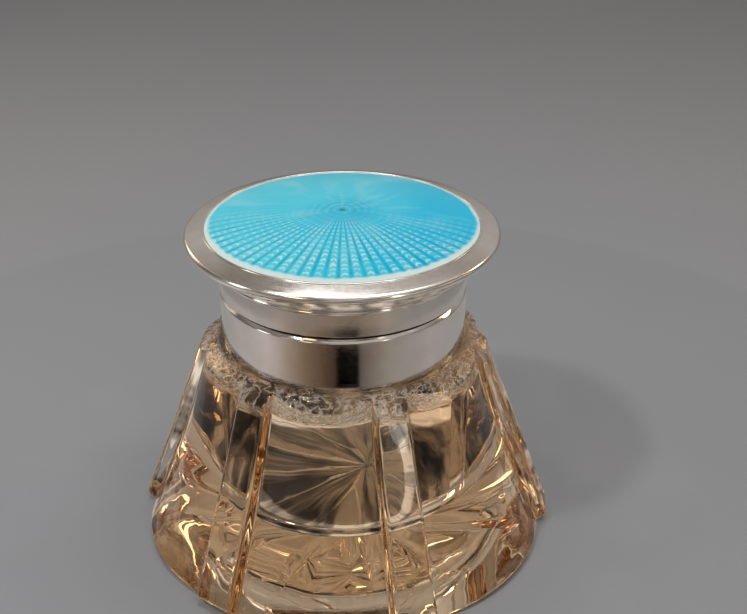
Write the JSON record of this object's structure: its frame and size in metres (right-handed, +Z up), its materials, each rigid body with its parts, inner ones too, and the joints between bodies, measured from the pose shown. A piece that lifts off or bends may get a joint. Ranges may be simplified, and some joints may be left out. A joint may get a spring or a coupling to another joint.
{
  "type": "inkwell",
  "caption": "Flared cut-glass inkwell with raised ribs, a silver collar and a hinged silver lid set with a domed disc of turquoise enamel over engine turning.",
  "frame": {"origin": "middle of the foot's underside, on the surface it stands on", "axes": "+Z up along the body's axis, -Y to the front, +Y towards the lid's hinge"},
  "size_m": [0.081, 0.0794, 0.064],
  "materials": {
    "cut_glass": "polished",
    "plaster": "matt",
    "silver": "polished, lightly worn",
    "engine_turned_silver": "engine turned rays and waves",
    "enamel": "translucent, polished",
    "gilt": "gilt, satin"
  },
  "bodies": {
    "base": {"glass_body": "cut_glass", "neck_cement": "plaster", "collar_band": "silver", "collar_rim_ring": "silver", "collar_hinge_leaf": "silver", "hinge_knuckle_left": "silver", "hinge_knuckle_right": "silver", "hinge_pin": "silver"},
    "lid": {"lid_skirt": "silver", "lid_flange": "silver", "enamel_bezel": "silver", "guilloche_plate": "engine_turned_silver", "enamel_disc": "enamel", "lid_liner": "gilt", "locating_ring": "gilt", "lid_hinge_leaf": "silver", "hinge_knuckle_middle": "silver"}
  },
  "joints": [
    {"name": "lid_hinge", "type": "hinge", "parent": "base", "child": "lid", "pos_m": [0, 0.0243, 0.05005], "axis": [-1, 0, 0], "range_deg": [0, 105]}
  ]
}
